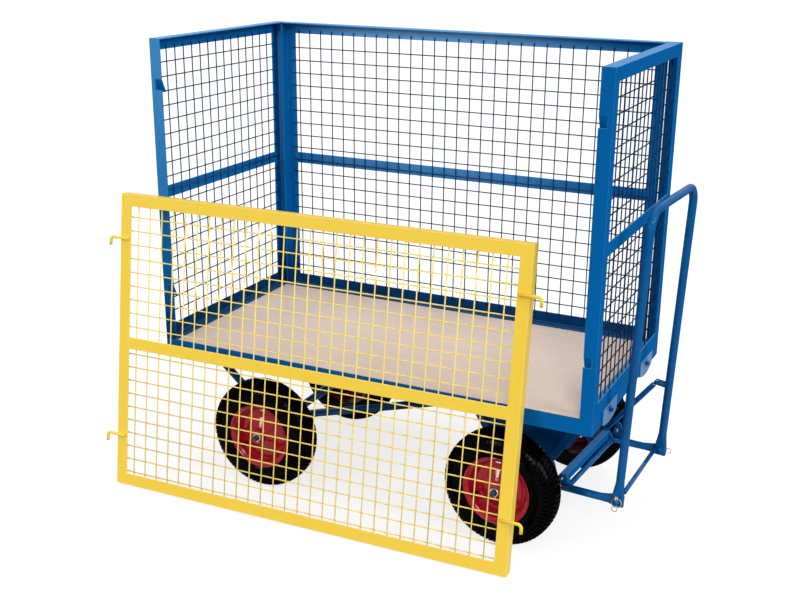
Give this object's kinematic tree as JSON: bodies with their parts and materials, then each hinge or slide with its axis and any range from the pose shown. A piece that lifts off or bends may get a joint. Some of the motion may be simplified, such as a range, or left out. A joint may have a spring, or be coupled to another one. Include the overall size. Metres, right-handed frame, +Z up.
{
  "type": "cage trolley",
  "caption": "Platform truck with a mesh cage at its ends and back, a loose mesh gate leaning in front, a steered front bogie on fat tyres and an upright loop handle.",
  "frame": {"origin": "on the floor under the middle of the whole, with the gate leaning in front", "axes": "+X along the platform towards the handle, +Y across it towards the back panel, +Z up"},
  "size_m": [1.7822, 0.9298, 1.495],
  "materials": {
    "blue_paint": "satin",
    "yellow_paint": "satin",
    "red_paint": "gloss",
    "tyre_rubber": "matte",
    "plywood": "satin",
    "zinc": "satin"
  },
  "bodies": {
    "trolley": {"platform_rim": "blue_paint", "deck_board": "plywood", "first_cross_member": "blue_paint", "second_cross_member": "blue_paint", "third_cross_member": "blue_paint", "fourth_cross_member": "blue_paint", "fifth_cross_member": "blue_paint", "sixth_cross_member": "blue_paint", "left_panel_frame": "blue_paint", "right_panel_frame": "blue_paint", "back_panel_frame": "blue_paint", "left_panel_mesh": "blue_paint", "right_panel_mesh": "blue_paint", "back_panel_mesh": "blue_paint", "gate_pockets": "blue_paint", "end_plates": "blue_paint", "rear_axle": "zinc", "left_rear_hanger": "blue_paint", "right_rear_hanger": "blue_paint", "turntable_plate": "blue_paint", "kingpin": "zinc", "rear_axle_washers": "zinc"},
    "bogie": {"bogie_bed_plate": "blue_paint", "left_bogie_hanger": "blue_paint", "right_bogie_hanger": "blue_paint", "front_axle": "zinc", "front_axle_washers": "zinc", "left_cheek": "blue_paint", "right_cheek": "blue_paint", "drawbar_crossbar": "blue_paint", "drawbar_frame": "blue_paint", "handle_pins": "zinc", "lynch_pins": "zinc"},
    "handle": {"handle_loop": "blue_paint", "handle_brace": "blue_paint", "strut_bracket": "blue_paint"},
    "strut_outer": {"strut_tube": "blue_paint"},
    "strut_inner": {"strut_rod": "zinc"},
    "near_ring": {"near_lynch_ring": "zinc"},
    "far_ring": {"far_lynch_ring": "zinc"},
    "gate": {"gate_frame": "yellow_paint", "gate_mesh": "yellow_paint", "gate_hooks": "yellow_paint"},
    "rear_near_wheel": {"rear_near_rim": "red_paint", "rear_near_tyre": "tyre_rubber"},
    "rear_far_wheel": {"rear_far_rim": "red_paint", "rear_far_tyre": "tyre_rubber"},
    "front_near_wheel": {"front_near_rim": "red_paint", "front_near_tyre": "tyre_rubber"},
    "front_far_wheel": {"front_far_rim": "red_paint", "front_far_tyre": "tyre_rubber"}
  },
  "joints": [
    {"name": "bogie_steer", "type": "hinge", "parent": "trolley", "child": "bogie", "pos_m": [0.48955, 0.0899, 0.413], "axis": [0, 0, 1], "range_deg": [-8, 16]},
    {"name": "handle_fold", "type": "hinge", "parent": "bogie", "child": "handle", "pos_m": [0.83071, 0.06604, 0.184], "axis": [0.0698, 0.9976, 0], "range_deg": [0, 70], "stiffness_Nm_per_rad": 45, "springref_deg": -34.38},
    {"name": "strut_pivot", "type": "hinge", "parent": "bogie", "child": "strut_outer", "pos_m": [0.65148, 0.28408, 0.214], "axis": [0.0698, 0.9976, 0], "range_deg": [0, 45]},
    {"name": "strut_slide", "type": "slide", "parent": "strut_outer", "child": "strut_inner", "axis": [0.6088, -0.0426, 0.7922], "range_m": [0, 0.17]},
    {"name": "near_ring_hinge", "type": "hinge", "parent": "bogie", "child": "near_ring", "pos_m": [0.8154, -0.15292, 0.199], "axis": [-0.9976, 0.0698, 0], "range_deg": [0, 110]},
    {"name": "far_ring_hinge", "type": "hinge", "parent": "bogie", "child": "far_ring", "pos_m": [0.84602, 0.28501, 0.199], "axis": [0.9976, -0.0698, 0], "range_deg": [0, 110]},
    {"name": "rear_near_spin", "type": "hinge", "parent": "trolley", "child": "rear_near_wheel", "pos_m": [-0.39546, -0.2151, 0.189], "axis": [0, 1, 0], "continuous": true},
    {"name": "rear_far_spin", "type": "hinge", "parent": "trolley", "child": "rear_far_wheel", "pos_m": [-0.39546, 0.3949, 0.189], "axis": [0, 1, 0], "continuous": true},
    {"name": "front_near_spin", "type": "hinge", "parent": "bogie", "child": "front_near_wheel", "pos_m": [0.46827, -0.21436, 0.189], "axis": [0.0698, 0.9976, 0], "continuous": true},
    {"name": "front_far_spin", "type": "hinge", "parent": "bogie", "child": "front_far_wheel", "pos_m": [0.51082, 0.39416, 0.189], "axis": [0.0698, 0.9976, 0], "continuous": true},
    {"name": "gate_lift_off", "type": "slide", "parent": "trolley", "child": "gate", "axis": [0, -0.6, 0.8], "range_m": [0, 0.6]}
  ],
  "couplings": [
    {"joint": "strut_pivot", "follows": "handle_fold", "ratio": 0.59},
    {"joint": "strut_slide", "follows": "handle_fold", "m_per_rad": 0.133}
  ]
}
